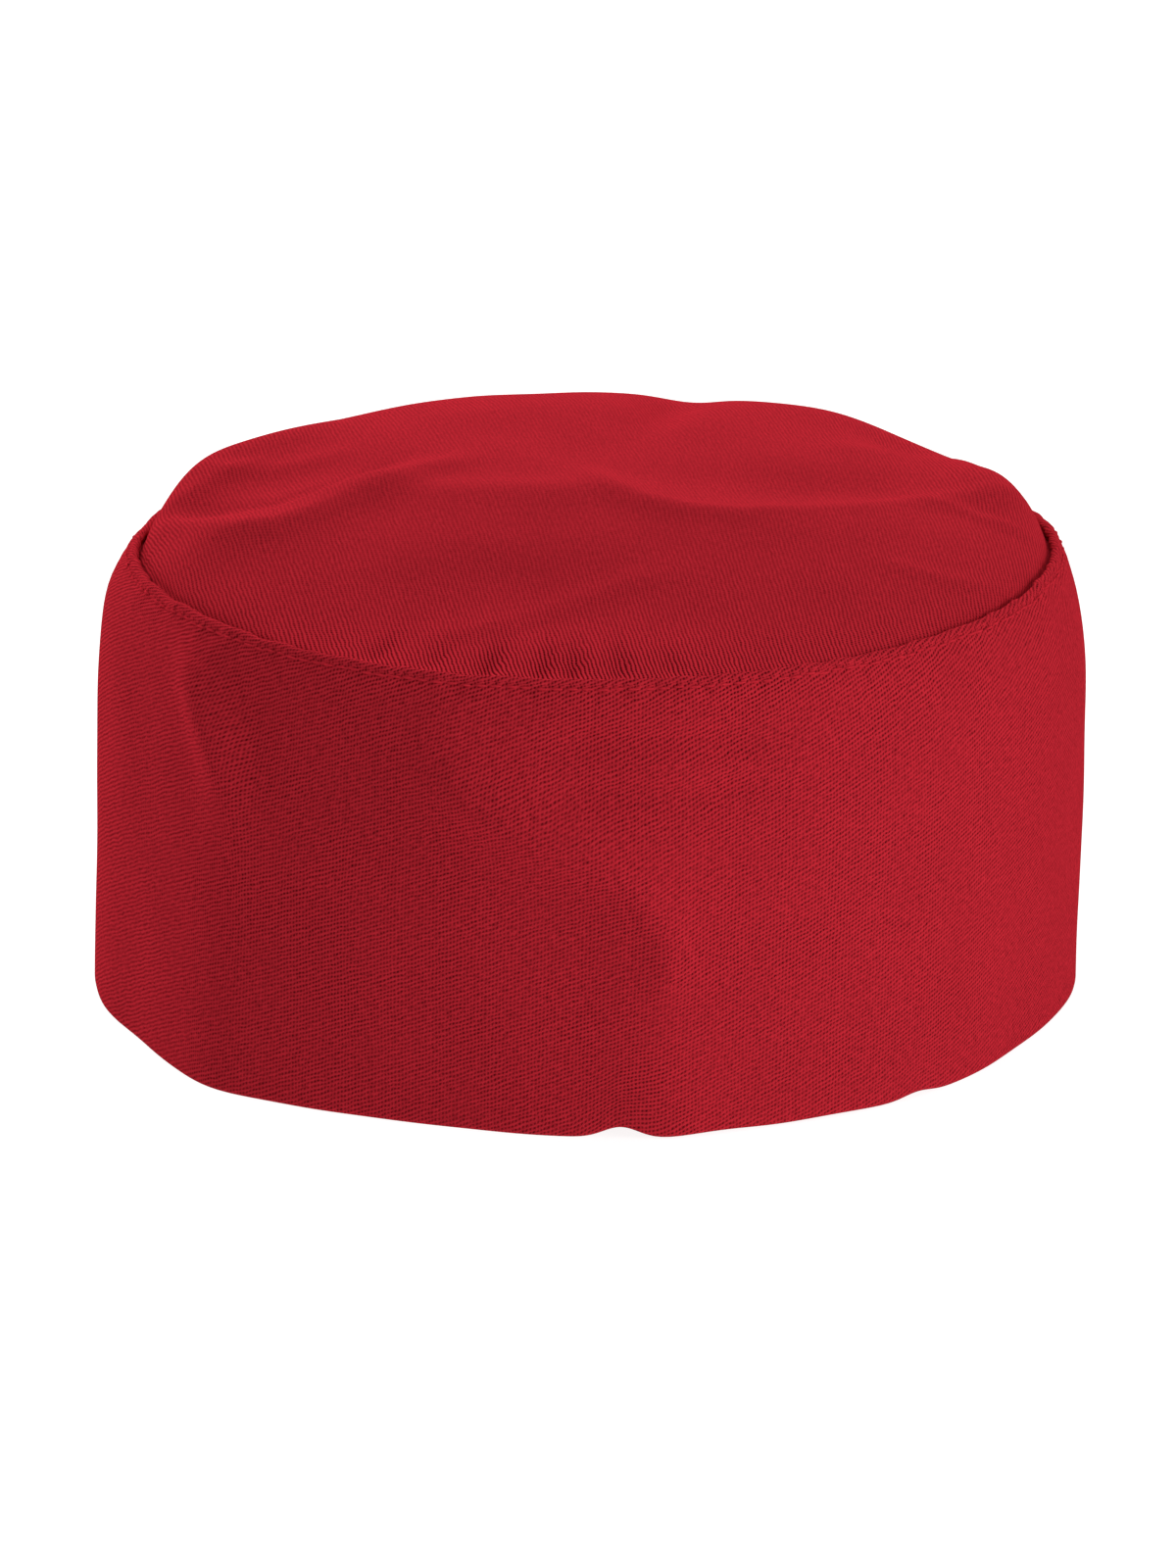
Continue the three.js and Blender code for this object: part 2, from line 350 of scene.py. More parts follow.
def turn_to(angle, middle):
    """The signed way round from one angle to another, at most half a turn."""
    return (angle - middle + 180) % 360 - 180


def long_bump(right, up, along, length, width):
    """A long soft bump at an offset to its right and up, slanted by an angle."""
    slant = math.radians(along)
    run = right * math.cos(slant) + up * math.sin(slant)
    across = up * math.cos(slant) - right * math.sin(slant)
    return bump(run, length) * bump(across, width)


def line_bump(right, up, places, width):
    """A thin soft bump along a line of places, which fades towards both of its ends."""
    nearest = np.full(np.broadcast(right, up).shape, np.inf)
    run = np.zeros(nearest.shape)
    before = 0.0
    for start, end in zip(places[:-1], places[1:]):
        way = np.subtract(end, start)
        length = np.hypot(*way)
        way = way / length
        along = np.clip((right - start[0]) * way[0] + (up - start[1]) * way[1], 0, length)
        away = np.hypot(right - start[0] - along * way[0], up - start[1] - along * way[1])
        run = np.where(away < nearest, before + along, run)
        nearest = np.minimum(away, nearest)
        before += length
    fade = np.clip(np.minimum(run, before - run) / CREASE_FADE, 0, 1)
    return bump(nearest, width) * fade * fade * (3 - 2 * fade)


def ripple(points, kind):
    """Unevenness of a kind at some points, from seeded waves in space, so that it has no seam anywhere."""
    chance = np.random.default_rng(kind.seed)
    ways = chance.normal(size=(RIPPLE_WAVES, 3))
    ways /= np.linalg.norm(ways, axis=1, keepdims=True)
    lengths = np.exp(chance.uniform(np.log(kind.shortest), np.log(kind.longest), RIPPLE_WAVES))
    phases = chance.uniform(0, 2 * np.pi, RIPPLE_WAVES)
    total = np.zeros(points.shape[:-1])
    for way, length, phase in zip(ways, lengths, phases):
        total += np.cos(points @ way * (2 * np.pi / length) + phase)
    return kind.height * total / math.sqrt(RIPPLE_WAVES)


class HatForm:
    """The hat's surfaces in millimetres, each at an angle and a height, or a share of the way to the seam."""

    def __init__(self, sizes):
        for name in Sizes.__annotations__:
            setattr(self, name, getattr(sizes, name) / MM)
        around = 2 * math.pi * (self.band_radius - self.shoulder_in)
        self.stitches = round(around / self.stitch_pitch)

    def shoulder(self, angle, height):
        """How far the band has drawn in at a height."""
        run = self.band_height - self.shoulder_start
        share = np.clip((height - self.shoulder_start) / run, 0, None)
        frontness = np.cos(np.radians(angle)) ** 2
        return (self.shoulder_in - self.edge_oval * frontness) * share**SHOULDER_POWER

    def slope(self, angle, height):
        """How far the band draws in over the millimetre below a height."""
        return self.shoulder(angle, height) - self.shoulder(angle, height - 1)

    def edge_dip(self, angle):
        """How far the top edge sinks."""
        return sum(d.drop * bump(turn_to(angle, d.angle), d.width) for d in EDGE_DIPS)

    def placed(self, angle, radius, height):
        """Points at a radius and height of the upright hat, moved with the band's lean, dips and lifts."""
        turned = np.radians(angle)
        share = np.clip(height / self.band_height, 0, 1)
        lean = self.rim_lean + (self.edge_lean - self.rim_lean) * share
        z = height - self.edge_dip(angle) * share**EDGE_DIP_POWER
        for r in RIM_LIFTS:
            z = z + r.lift * bump(turn_to(angle, r.angle), r.width) * bump(height, r.reach)
        z = z + self.edge_wobble(angle) * bump(height - self.band_height, WOBBLE_REACH)
        x = lean + radius * np.sin(turned)
        y = -radius * np.cos(turned)
        return np.stack(np.broadcast_arrays(x, y, z), -1)

    def edge_wobble(self, angle):
        """Soft ups and downs of the sewn top edge."""
        turned = np.radians(angle)
        edge = self.band_radius * np.stack([np.sin(turned), -np.cos(turned), 0 * turned], -1)
        return ripple(edge, EDGE_WOBBLE)

    def folded_radius(self, angle, height):
        """Outside of the band with its rim waves and folds, as the solid has it."""
        radius = self.band_radius - self.shoulder(angle, height)
        for w in RIM_WAVES:
            radius = radius + w.push * bump(turn_to(angle, w.angle), w.width) * bump(height, w.reach)
        calm = 1 - bump(height - self.band_height, FOLD_CALM)
        for f in BAND_FOLDS:
            right = np.radians(turn_to(angle, f.angle)) * self.band_radius
            radius = radius + f.push * calm * long_bump(right, height - f.height, f.along, f.length, f.width)
        return radius

    def fine_radius(self, angle, height):
        """Outside of the band with its fine creases, its unevenness and the groove of its topstitching."""
        radius = self.folded_radius(angle, height)
        below = self.band_height - height
        calm = 1 - bump(below, RIPPLE_CALM)
        radius = radius + calm * ripple(self.placed(angle, radius, height), BAND_RIPPLE)
        right = np.radians(turn_to(angle, 0)) * self.band_radius
        calm = 1 - bump(below, CREASE_CALM)
        for c in BAND_CREASES:
            places = [(math.radians(turned) * self.band_radius, level) for turned, level in c.places]
            radius = radius + c.height * calm * line_bump(right, height, places, c.width)
        past_stitches = below - self.stitch_inset
        needle = (0.5 + 0.5 * np.cos(np.radians(angle) * self.stitches)) ** 2
        groove = bump(past_stitches, GROOVE_WIDTH) * (GROOVE_DEPTH + HOLE_DEPTH * needle)
        swell = SWELL_HEIGHT * bump(past_stitches - SWELL_BELOW, SWELL_WIDTH) * (1 - 0.5 * needle)
        pucker = bump(past_stitches, PUCKER_WIDTH) * ripple(self.placed(angle, radius, height), SEAM_PUCKER)
        return radius - groove + swell + pucker

    def seam_radius(self, angle, height):
        """Inside of the band, with the gap to the crown's turned-down edge."""
        walls = (self.band_wall + self.seam_gap) * np.hypot(1, self.slope(angle, height))
        return self.band_radius - self.shoulder(angle, height) - walls

    def gathered(self, angle, inset):
        """Depth of the crown's gathers at a distance in from its seam."""
        depth = 0 * angle
        for g in GATHERS:
            around = bump(turn_to(angle, g.angle), g.width)
            depth = depth + g.depth * around * bump(inset - GATHER_INSET, g.reach)
        return depth

    def crown(self, angle, share):
        """Points of the crown's outer face: share 0 is its middle and share 1 its seam."""
        edge = self.seam_radius(angle, self.band_height)
        points = self.placed(angle, share * edge, self.band_height + 0 * angle)
        x, y = points[..., 0], points[..., 1]
        folds = ripple(np.stack([x, y, 0 * x], -1), CROWN_RIPPLE)
        for f in CROWN_FOLDS:
            folds = folds + f.height * long_bump(x - f.x, y - f.y, f.along, f.length, f.width)
        for c in CROWN_CREASES:
            folds = folds + c.height * line_bump(x, y, c.places, c.width)
        gathers = self.gathered(angle, (1 - share) * edge)
        ease = DOME_ROUND + FRONT_EASE * bump(turn_to(angle, 0), FRONT_WIDTH)
        rise = self.crown_rise * (1 - share**DOME_POWER) ** ease
        rise = rise + folds * (1 - share**FOLD_SETTLE) - gathers * (1 - share**GATHER_SETTLE)
        dip = self.edge_dip(angle) * share**FOLD_SETTLE
        points[..., 2] = self.band_height - self.seam_drop + rise - dip
        return points

    def skirt_points(self, angle, share):
        """Points of the crown's edge where it is turned down inside the band."""
        height = self.band_height - self.seam_drop - self.skirt * share
        return self.placed(angle, self.seam_radius(angle, height) - self.skirt_lean * share, height)


def form():
    """The hat's form at the panel's sizes."""
    return HatForm(bpy.context.scene.chef_hat_sizes)


def colours():
    """The panel's colours."""
    return bpy.context.scene.chef_hat_colours


def deselect_all():
    """Leave edit mode and deselect every object."""
    if bpy.context.object and bpy.context.object.mode != "OBJECT":
        bpy.ops.object.mode_set(mode="OBJECT")
    bpy.ops.object.select_all(action="DESELECT")


def ring_faces(row_count, around, closed):
    """Corners of the faces between rows that run round the hat, each row outside or below the one before."""
    first = np.arange(row_count if closed else row_count - 1)
    column = np.arange(around)
    upper = first[:, None] * around
    lower = (first[:, None] + 1) % row_count * around
    after = (column + 1) % around
    return np.stack([upper + column, lower + column, lower + after, upper + after], -1).reshape(-1, 4)


def ring_maps(maps):
    """The cloth's map at the corners of those faces; maps has a row and a column more than the faces."""
    return np.stack([maps[:-1, :-1], maps[1:, :-1], maps[1:, 1:], maps[:-1, 1:]], -2).reshape(-1, 2)


def cloth_object(name, points, faces, corner_maps, pinch_shade):
    """A smooth mesh with a UV map of its cloth in millimetres, and at each point the painted shade that
    darkens the twill's gaps where a seam pinches the cloth.
    """
    mesh = bpy.data.meshes.new(name)
    mesh.from_pydata((points * MM).tolist(), [], faces)
    layer = mesh.uv_layers.new(name="cloth")
    layer.data.foreach_set("uv", corner_maps.astype(np.float32).ravel())
    # Painted shade: how much darker the twill's gaps are drawn at each point, where a seam or a gather
    # pinches the cloth
    pinch_shade_layer = mesh.attributes.new("pinch_shade", "FLOAT", "POINT")
    pinch_shade_layer.data.foreach_set("value", np.asarray(pinch_shade, np.float32).ravel())
    mesh.shade_smooth()
    piece = bpy.data.objects.new(name, mesh)
    bpy.context.scene.collection.objects.link(piece)
    return piece


def normals_of(rows):
    """Outward normals of rows that run round the hat, from the rows and columns beside each point."""
    around = np.roll(rows, -1, axis=1) - np.roll(rows, 1, axis=1)
    normal = np.cross(np.gradient(rows, axis=0), around)
    return normal / np.linalg.norm(normal, axis=-1, keepdims=True)


class Nodes:
    """A short way to add and link the nodes of one material."""

    def __init__(self, name):
        self.material = bpy.data.materials.new(name)
        self.material.use_nodes = True
        self.tree = self.material.node_tree
        self.shader = self.tree.nodes["Principled BSDF"]

    def add(self, kind, inputs=None, **settings):
        """A node with its settings, and with a value or a link on each named input."""
        node = self.tree.nodes.new(kind)
        for key, value in settings.items():
            setattr(node, key, value)
        for key, value in (inputs or {}).items():
            if isinstance(value, bpy.types.NodeSocket):
                self.tree.links.new(value, node.inputs[key])
            else:
                node.inputs[key].default_value = value
        return node

    def math(self, operation, *values):
        """The result of a math node with some values."""
        return self.add("ShaderNodeMath", dict(enumerate(values)), operation=operation).outputs[0]

    def vector(self, operation, **inputs):
        """The result of a vector math node on A and B, or on A with a Scale."""
        named = {{"A": 0, "B": 1}.get(name, name): value for name, value in inputs.items()}
        return self.add("ShaderNodeVectorMath", named, operation=operation).outputs[0]

    def noise(self, vector, **inputs):
        """A noise texture at a place of the cloth or the object."""
        return self.add("ShaderNodeTexNoise", {"Vector": vector, **inputs})

    def link(self, output, name):
        """Link an output to a named input of the shader."""
        self.tree.links.new(output, self.shader.inputs[name])

    def set(self, **values):
        """Set named inputs of the shader."""
        for name, value in values.items():
            self.shader.inputs[name.replace("_", " ")].default_value = value


# Millimetres between the twill's lines and between the dark dots along a line, and how far the dots of
# the next line are slipped, as a share of that distance
LINE_PITCH = 0.8
DOT_PITCH = 0.755
DOT_SHIFT = 0.44

# How dark the cloth is on average, how much deeper the painted shade of a pinch makes its gaps, how far the
# lines wander in millimetres, and how the thick and thin places of the yarn are drawn out along the lines
MEAN_SHADE = 0.26
PINCH_SHADE_DEPTH = 1.3
LINE_WANDER = 0.75
SLUB_STRETCH = (0.45, 1.2, 1)

# Brightness of the cloth's darkest patches and how much brighter the others get, and roughness, with
# what the gaps add to it
MOTTLE_LOW = 0.92
MOTTLE_SPAN = 0.16
YARN_ROUGHNESS = 0.86
GAP_ROUGHNESS = 0.12


class Twill(NamedTuple):
    """A cut of twill: slant of its lines, share of dots, depth of its gaps and unevenness of its yarn."""

    slant: float
    dots: float
    depth: float
    slubs: float


BAND_TWILL = Twill(slant=22.5, dots=0.75, depth=0.75, slubs=1.0)
CROWN_TWILL = Twill(slant=100, dots=0.55, depth=0.18, slubs=0.6)


def twill_material(name, twill):
    """Red twill: diagonal lines of raised yarn with rows of dark dots between, uneven as spun yarn is.

    Where a seam or a gather pinches the cloth, the gaps between the yarns are painted darker and the yarns
    lighter: painted shade for the shade that falls in those pleats.
    """
    nodes = Nodes(name)
    cloth = nodes.add("ShaderNodeUVMap", uv_map="cloth").outputs["UV"]
    wander = nodes.noise(cloth, Scale=0.35, Detail=2.0).outputs["Color"]
    centred = nodes.vector("SUBTRACT", A=wander, B=(0.5, 0.5, 0.5))
    small = nodes.vector("SCALE", A=centred, Scale=LINE_WANDER)
    moved = nodes.vector("ADD", A=cloth, B=small)
    turn = (0, 0, -math.radians(twill.slant))
    turned = nodes.add("ShaderNodeMapping", {"Vector": moved, "Rotation": turn}).outputs[0]
    split = nodes.add("ShaderNodeSeparateXYZ", {0: turned})
    across = nodes.math("MULTIPLY", split.outputs["Y"], 2 * math.pi / LINE_PITCH)
    along = nodes.math("MULTIPLY", split.outputs["X"], 2 * math.pi / DOT_PITCH)
    slipped = nodes.math("MULTIPLY_ADD", across, -DOT_SHIFT, along)
    line = nodes.math("MULTIPLY_ADD", nodes.math("COSINE", across), 0.5, 0.5)
    dot = nodes.math("MULTIPLY_ADD", nodes.math("COSINE", slipped), 0.5, 0.5)
    pit = nodes.math("MULTIPLY", line, dot)
    low = nodes.math("MULTIPLY_ADD", pit, twill.dots, nodes.math("MULTIPLY", line, 1 - twill.dots))
    # Less its mean, so that deeper gaps do not darken the whole cloth
    low = nodes.math("SUBTRACT", low, 0.5 - 0.25 * twill.dots)

    patches = nodes.noise(cloth, Scale=0.05, Detail=1.0).outputs["Fac"]
    # Painted shade: the gaps are drawn darker where a seam or a gather pinches the cloth, as shade falls in
    # the pleats
    pinch_shade = nodes.add("ShaderNodeAttribute", attribute_name="pinch_shade").outputs["Fac"]
    plain = nodes.math("MULTIPLY_ADD", patches, twill.depth, 0.5 * twill.depth)
    gap_depth_and_shade = nodes.math("MULTIPLY_ADD", pinch_shade, PINCH_SHADE_DEPTH, plain)
    spun = nodes.add("ShaderNodeMapping", {"Vector": turned, "Scale": SLUB_STRETCH}).outputs[0]
    slub = nodes.noise(spun, Scale=1.6, Detail=3.0).outputs["Fac"]
    uneven = nodes.math("MULTIPLY_ADD", slub, twill.slubs, MEAN_SHADE - twill.slubs / 2)
    shade = nodes.math("MULTIPLY_ADD", low, gap_depth_and_shade, uneven)
    paint = nodes.add(
        "ShaderNodeMix", {0: shade, 6: (*colours().twill, 1), 7: (*colours().twill_gap, 1)},
        data_type="RGBA", clamp_factor=True).outputs[2]
    mottle = nodes.noise(cloth, Scale=0.06, Detail=4.0, Roughness=0.6).outputs["Fac"]
    value = nodes.math("MULTIPLY_ADD", mottle, MOTTLE_SPAN, MOTTLE_LOW)
    tone = nodes.add("ShaderNodeHueSaturation", {"Color": paint, "Value": value}).outputs[0]
    nodes.link(tone, "Base Color")
    height = nodes.math("MULTIPLY_ADD", slub, 0.5, nodes.math("MULTIPLY", low, -1.0))
    relief = nodes.add("ShaderNodeBump", {"Height": height, "Strength": 0.6, "Distance": 0.0002}).outputs[0]
    nodes.link(relief, "Normal")
    nodes.link(nodes.math("MULTIPLY_ADD", low, GAP_ROUGHNESS, YARN_ROUGHNESS), "Roughness")
    nodes.set(Specular_IOR_Level=0.0, Sheen_Weight=0.06, Sheen_Roughness=0.6, Sheen_Tint=(0.9, 0.04, 0.06, 1))
    return nodes.material


# How dark the thread's hollows are against its colour, and the floor's own light
THREAD_DARK = 0.6
FLOOR_GLOW = 0.9


def thread_material():
    """Spun sewing thread, finely uneven."""
    nodes = Nodes("stitch_thread")
    where = nodes.add("ShaderNodeTexCoord").outputs["Object"]
    fine = nodes.noise(where, Scale=1800.0, Detail=2.0).outputs["Fac"]
    dark = [THREAD_DARK * c for c in colours().thread]
    paint = nodes.add(
        "ShaderNodeMix", {0: fine, 6: (*colours().thread, 1), 7: (*dark, 1)}, data_type="RGBA").outputs[2]
    nodes.link(paint, "Base Color")
    relief = nodes.add("ShaderNodeBump", {"Height": fine, "Strength": 0.4, "Distance": 0.0001}).outputs[0]
    nodes.link(relief, "Normal")
    nodes.set(Roughness=0.8, Specular_IOR_Level=0.0)
    return nodes.material


def floor_material():
    """A plain pale matt floor, lit a little from below like a light table."""
    nodes = Nodes("pale_floor")
    nodes.set(Base_Color=(*colours().floor, 1), Roughness=0.9, Specular_IOR_Level=0.1)
    nodes.set(Emission_Color=(1, 1, 1, 1), Emission_Strength=FLOOR_GLOW)
    return nodes.material


# Columns and rows of the band: close near its top edge, wider down its upper part, widest below and inside
COLUMNS_A_STITCH = 5
NEAR_EDGE = 5
NEAR_EDGE_ROWS = 12
UPPER_PART = 45
UPPER_PART_ROWS = 25
LOWER_PART_ROWS = 20
INNER_ROWS = 14
LIP_STEPS = 7
RIM_STEPS = 6

# How far the folded rim reaches down, in half walls, before the table flattens it, and how much and how
# wide painted shade darkens the band's twill gaps along the stitches, where they pinch the cloth
RIM_REACH = 1.15
EDGE_PINCH_SHADE = 0.15
EDGE_PINCH_SHADE_WIDTH = 3


class HAT_OT_side_band(Operator):
    """Make the side band: a ring of twill folded double, with a turned top edge and a clean folded rim"""

    bl_idname = "chef_hat.side_band"
    bl_label = "Side band"

    def execute(self, context):
        hat = form()
        half = hat.band_wall / 2
        columns = COLUMNS_A_STITCH * hat.stitches
        angle = np.arange(columns) * 360 / columns - 180
        top = hat.band_height - half
        outer = np.concatenate([
            np.linspace(top, top - NEAR_EDGE, NEAR_EDGE_ROWS)[:-1],
            np.linspace(top - NEAR_EDGE, top - UPPER_PART, UPPER_PART_ROWS)[:-1],
            np.linspace(top - UPPER_PART, half, LOWER_PART_ROWS),
        ])
        rows = [hat.placed(angle, hat.fine_radius(angle, h), h) for h in outer]
        rows += self.turn(hat, angle, half, RIM_STEPS, -RIM_REACH, 1)
        for h in np.linspace(half, top, INNER_ROWS):
            middle, wall = self.middle_and_half(hat, angle, h)
            rows.append(hat.placed(angle, middle - wall, h))
        rows += self.turn(hat, angle, top, LIP_STEPS, 1, -1)
        rows = np.stack(rows)

        steps = np.linalg.norm(np.diff(np.vstack([rows, rows[:1]]), axis=0), axis=-1).mean(axis=1)
        down = np.concatenate([[0], np.cumsum(steps)])
        across = np.radians(np.append(angle, 180)) * hat.band_radius
        maps = np.stack(np.broadcast_arrays(across[None, :], -down[:, None]), -1)
        faces = ring_faces(len(rows), columns, closed=True)
        # Painted shade along the stitch row: the twill's gaps are drawn darker there
        pinch_shade = EDGE_PINCH_SHADE * bump(hat.band_height - rows[..., 2] - hat.stitch_inset, EDGE_PINCH_SHADE_WIDTH)
        band = cloth_object("side_band_cloth", rows.reshape(-1, 3), faces.tolist(), ring_maps(maps), pinch_shade)
        band.data.materials.append(twill_material("band_twill", BAND_TWILL))
        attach(band, "root")
        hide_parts("side_band")
        return {"FINISHED"}

    def middle_and_half(self, hat, angle, height):
        """Middle of the wall at a height, and half the wall there."""
        half = hat.band_wall / 2 * np.hypot(1, hat.slope(angle, height))
        return hat.fine_radius(angle, height) - half, half

    def turn(self, hat, angle, height, steps, rise, side):
        """Rows of a folded edge, from one face of the wall round to the other, flat on the table."""
        middle, half = self.middle_and_half(hat, angle, height)
        rows = []
        for step in range(1, steps):
            turned = math.pi * step / steps
            level = max(0.0, height + rise * hat.band_wall / 2 * math.sin(turned))
            rows.append(hat.placed(angle, middle + side * half * math.cos(turned), level))
        return rows


# How finely the crown is divided; its under side keeps all rows near the seam and some of the others
CROWN_AROUND = 640
CROWN_RINGS = 84
CROWN_CROWDING = 1.5
SKIRT_ROWS = 4
UNDER_SEAM_ROWS = 4
UNDER_STRIDE = 4

# How much painted shade the seam's pinch puts into the crown's twill gaps, how much more at the front, and
# how far in
FRONT_PINCH_SHADE_WIDTH = 36
WIDE_PINCH_SHADE = 0.26
WIDE_PINCH_SHADE_FRONT = 0.2
WIDE_PINCH_SHADE_REACH = 36
NEAR_PINCH_SHADE = 0.2
NEAR_PINCH_SHADE_FRONT = 0.7
NEAR_PINCH_SHADE_REACH = 7
NEAR_PINCH_SHADE_REACH_FRONT = 5
GATHER_PINCH_SHADE = 0.8


class HAT_OT_crown(Operator):
    """Make the crown: a soft round panel of twill, turned down and sewn inside the band's top edge"""

    bl_idname = "chef_hat.crown"
    bl_label = "Crown"

    def execute(self, context):
        hat = form()
        angle = np.arange(CROWN_AROUND) * 360 / CROWN_AROUND
        shares = 1 - (1 - np.arange(1, CROWN_RINGS + 1) / CROWN_RINGS) ** CROWN_CROWDING
        dome = [hat.crown(angle, s) for s in shares]
        skirt = [hat.skirt_points(angle, (k + 1) / SKIRT_ROWS) for k in range(SKIRT_ROWS)]
        outer = np.stack(dome + skirt)
        inner = (outer - hat.crown_wall * normals_of(outer))[::-1]
        seam_rows, last_row = SKIRT_ROWS + UNDER_SEAM_ROWS, len(inner) - 1
        keep = np.r_[0:seam_rows, seam_rows:last_row:UNDER_STRIDE, last_row]
        rows = np.concatenate([outer, inner[keep]])
        pole = hat.crown(np.zeros(1), 0.0)
        under = pole - (0, 0, hat.crown_wall)

        steps = np.diff(np.concatenate([np.broadcast_to(pole, outer[:1].shape), outer]), axis=0)
        run = np.cumsum(np.linalg.norm(steps, axis=-1), axis=0)
        turned = np.radians(angle)
        flat = np.stack([run * np.sin(turned), -run * np.cos(turned)], -1)
        maps = np.concatenate([flat, flat[::-1][keep]])
        maps = np.concatenate([maps, maps[:, :1]], axis=1)
        # Painted shade near the seam and in the gathers, carried to the twill as darker gaps
        pinch_shade = self.pinch_shade(hat, angle, np.clip(run[CROWN_RINGS - 1] - run, 0, None))
        pinch_shade = np.concatenate([pinch_shade, pinch_shade[::-1][keep]])

        ring = np.arange(CROWN_AROUND)
        after = (ring + 1) % CROWN_AROUND
        last = (len(rows) - 1) * CROWN_AROUND
        tip = len(rows) * CROWN_AROUND
        top_fan = np.stack([np.full(CROWN_AROUND, tip), ring, after], -1)
        under_fan = np.stack([np.full(CROWN_AROUND, tip + 1), last + after, last + ring], -1)
        faces = ring_faces(len(rows), CROWN_AROUND, closed=False).tolist()
        faces += top_fan.tolist() + under_fan.tolist()
        points = np.vstack([rows.reshape(-1, 3), pole, under])
        by_point = np.vstack([maps[:, :-1].reshape(-1, 2), np.zeros((2, 2))])
        fan_maps = by_point[np.concatenate([top_fan.ravel(), under_fan.ravel()])]
        corner_maps = np.vstack([ring_maps(maps), fan_maps])
        crown = cloth_object("crown_cloth", points, faces, corner_maps, np.append(pinch_shade, [0, 0]))
        crown.data.materials.append(twill_material("crown_twill", CROWN_TWILL))
        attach(crown, "root")
        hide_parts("crown")
        return {"FINISHED"}

    def pinch_shade(self, hat, angle, inset):
        """How much painted shade darkens the twill's gaps where the seam draws the cloth together, most of
        all at the front and in the gathers.
        """
        front = bump(turn_to(angle, 0), FRONT_PINCH_SHADE_WIDTH)
        wide_shade = (WIDE_PINCH_SHADE + WIDE_PINCH_SHADE_FRONT * front) * bump(inset, WIDE_PINCH_SHADE_REACH)
        near_reach = NEAR_PINCH_SHADE_REACH + NEAR_PINCH_SHADE_REACH_FRONT * front
        near_shade = (NEAR_PINCH_SHADE + NEAR_PINCH_SHADE_FRONT * front) * bump(inset, near_reach)
        return wide_shade + near_shade + GATHER_PINCH_SHADE * hat.gathered(angle, inset)


# A stitch as a share of the stitch pitch, its flatness, how far its middle lies out and its ends bend in
STITCH_SHARE = 0.84
STITCH_FLAT = 0.8
STITCH_RAISE = 0.12
STITCH_BEND = 0.28


class HAT_OT_topstitching(Operator):
    """Make the row of topstitching that runs round below the band's top edge"""

    bl_idname = "chef_hat.topstitching"
    bl_label = "Topstitching"

    def execute(self, context):
        hat = form()
        single, shape = self.one_stitch(hat)
        bent = single[:, 2:] + STITCH_RAISE - STITCH_BEND * (2 * single[:, :1] / hat.stitch_pitch) ** 2
        height = hat.band_height - hat.stitch_inset
        points, faces = [], []
        for k in range(hat.stitches):
            angle = (k + 0.5) * 360 / hat.stitches
            turned = math.radians(angle)
            out = np.array([math.sin(turned), -math.cos(turned), 0])
            side = np.array([math.cos(turned), math.sin(turned), 0])
            up = np.array([0, 0, 1]) - hat.slope(angle, height) * out
            up /= np.linalg.norm(up)
            away = np.cross(side, up)
            centre = hat.placed(angle, hat.fine_radius(angle, height), height)
            first = len(points) * len(single)
            faces += [[first + v for v in face] for face in shape]
            points.append(centre + single[:, :1] * side + single[:, 1:2] * up + bent * away)
        mesh = bpy.data.meshes.new("topstitching")
        mesh.from_pydata((np.vstack(points) * MM).tolist(), [], faces)
        mesh.shade_smooth()
        mesh.materials.append(thread_material())
        stitches = bpy.data.objects.new("topstitching", mesh)
        bpy.context.scene.collection.objects.link(stitches)
        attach(stitches, "root")
        return {"FINISHED"}

    def one_stitch(self, hat):
        """Points and faces of one stitch, in millimetres, that lies along X and faces up."""
        deselect_all()
        bpy.ops.mesh.primitive_uv_sphere_add(segments=8, ring_count=6, radius=0.5)
        stitch = bpy.context.object
        bpy.ops.object.mode_set(mode="EDIT")
        bpy.ops.mesh.select_all(action="SELECT")
        bpy.ops.transform.rotate(value=math.pi / 2, orient_axis="Y", center_override=(0, 0, 0))
        size = (hat.stitch_pitch * STITCH_SHARE, hat.thread_width, hat.thread_width * STITCH_FLAT)
        bpy.ops.transform.resize(value=size, center_override=(0, 0, 0))
        bpy.ops.object.mode_set(mode="OBJECT")
        points = np.array([v.co for v in stitch.data.vertices])
        faces = [list(p.vertices) for p in stitch.data.polygons]
        bpy.data.objects.remove(stitch, do_unlink=True)
        return points, faces


# The camera's degrees above the table, metres from its aim and lens; then the floor and the even light
CAMERA_TILT = 17.9
CAMERA_AWAY = 2.5
CAMERA_AIM = (-0.00045, 0.0, 0.0389)
CAMERA_LENS = 298.3
CAMERA_FAR = 50
FLOOR_SIZE = 12
SKY_STRENGTH = 0.1


class Lamp(NamedTuple):
    """A square soft light: where it stands as seen from the hat, its size and its power."""

    name: str
    angle: float
    tilt: float
    away: float
    size: float
    power: float


LAMPS = [
    Lamp(name="key", angle=57, tilt=15, away=2.0, size=1.0, power=23),
    Lamp(name="back_right", angle=170, tilt=24, away=2.0, size=1.2, power=28),
    Lamp(name="back_left", angle=-147, tilt=26, away=2.0, size=1.2, power=30),
    Lamp(name="top", angle=0, tilt=80, away=2.0, size=1.2, power=12),
    Lamp(name="fill", angle=-115, tilt=42, away=2.0, size=0.9, power=8),
]


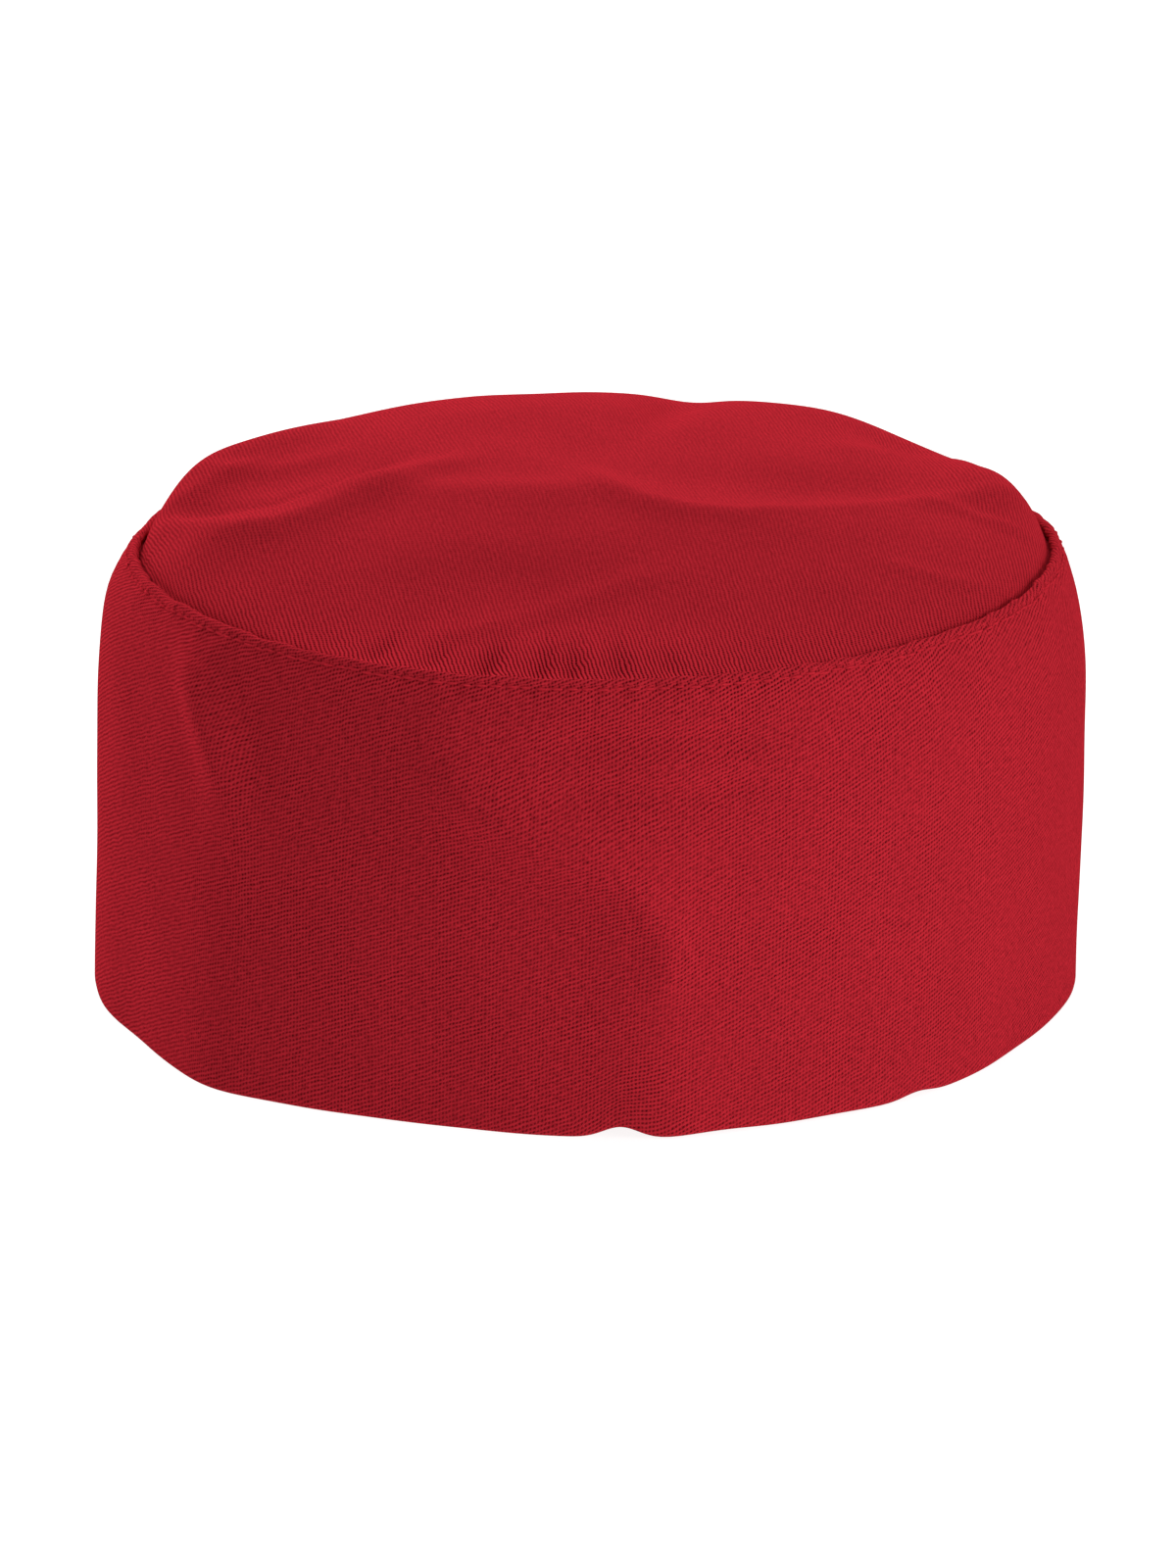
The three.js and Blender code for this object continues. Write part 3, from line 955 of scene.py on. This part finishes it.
class HAT_OT_stage(Operator):
    """Make the pale floor, the soft lights and the camera"""

    bl_idname = "chef_hat.stage"
    bl_label = "Stage"

    def execute(self, context):
        deselect_all()
        bpy.ops.mesh.primitive_plane_add(size=FLOOR_SIZE, location=(0, 0, 0))
        floor = bpy.context.object
        floor.name = "floor"
        floor.data.materials.append(floor_material())
        aim = Vector(CAMERA_AIM)
        for lamp in LAMPS:
            way = self.way(lamp.angle, lamp.tilt)
            bpy.ops.object.light_add(
                type="AREA", location=aim + way * lamp.away, rotation=way.to_track_quat("Z", "Y").to_euler())
            light = bpy.context.object
            light.name = lamp.name
            light.data.size = lamp.size
            light.data.energy = lamp.power
            light.visible_camera = False
        world = bpy.data.worlds.new("studio")
        context.scene.world = world
        world.use_nodes = True
        sky = world.node_tree.nodes["Background"]
        sky.inputs["Color"].default_value = (1, 1, 1, 1)
        sky.inputs["Strength"].default_value = SKY_STRENGTH
        bpy.ops.object.camera_add(
            location=aim + self.way(0, CAMERA_TILT) * CAMERA_AWAY,
            rotation=(math.radians(90 - CAMERA_TILT), 0, 0))
        camera = bpy.context.object
        camera.data.lens = CAMERA_LENS
        camera.data.clip_end = CAMERA_FAR
        context.scene.camera = camera
        context.scene.view_settings.view_transform = "Standard"
        return {"FINISHED"}

    def way(self, angle, tilt):
        """The direction from the hat to something at an angle round it and a tilt above the table."""
        turned, raised = math.radians(angle), math.radians(tilt)
        flat = math.cos(raised)
        return Vector((flat * math.sin(turned), -flat * math.cos(turned), math.sin(raised)))


STEPS = (HAT_OT_topstitching, HAT_OT_side_band, HAT_OT_crown, HAT_OT_stage)


class HAT_PT_panel(Panel):
    """Sizes, colours and steps of the hat"""

    bl_idname = "HAT_PT_panel"
    bl_label = "Chef hat"
    bl_space_type = "VIEW_3D"
    bl_region_type = "UI"
    bl_category = "Chef hat"

    def draw(self, context):
        for group in (context.scene.chef_hat_sizes, context.scene.chef_hat_colours):
            for name in group.__annotations__:
                self.layout.prop(group, name)
        for step in STEPS:
            self.layout.operator(step.bl_idname)


CLASSES = (Sizes, Colours, *STEPS, HAT_PT_panel)


def register():
    for cls in CLASSES:
        bpy.utils.register_class(cls)
    bpy.types.Scene.chef_hat_sizes = PointerProperty(type=Sizes)
    bpy.types.Scene.chef_hat_colours = PointerProperty(type=Colours)


def unregister():
    del bpy.types.Scene.chef_hat_colours
    del bpy.types.Scene.chef_hat_sizes
    for cls in reversed(CLASSES):
        bpy.utils.unregister_class(cls)


def main():
    """Make the hat and its stage."""
    register()
    bpy.ops.chef_hat.topstitching()
    bpy.ops.chef_hat.side_band()
    bpy.ops.chef_hat.crown()
    bpy.ops.chef_hat.stage()


if __name__ == "__main__":
    main()
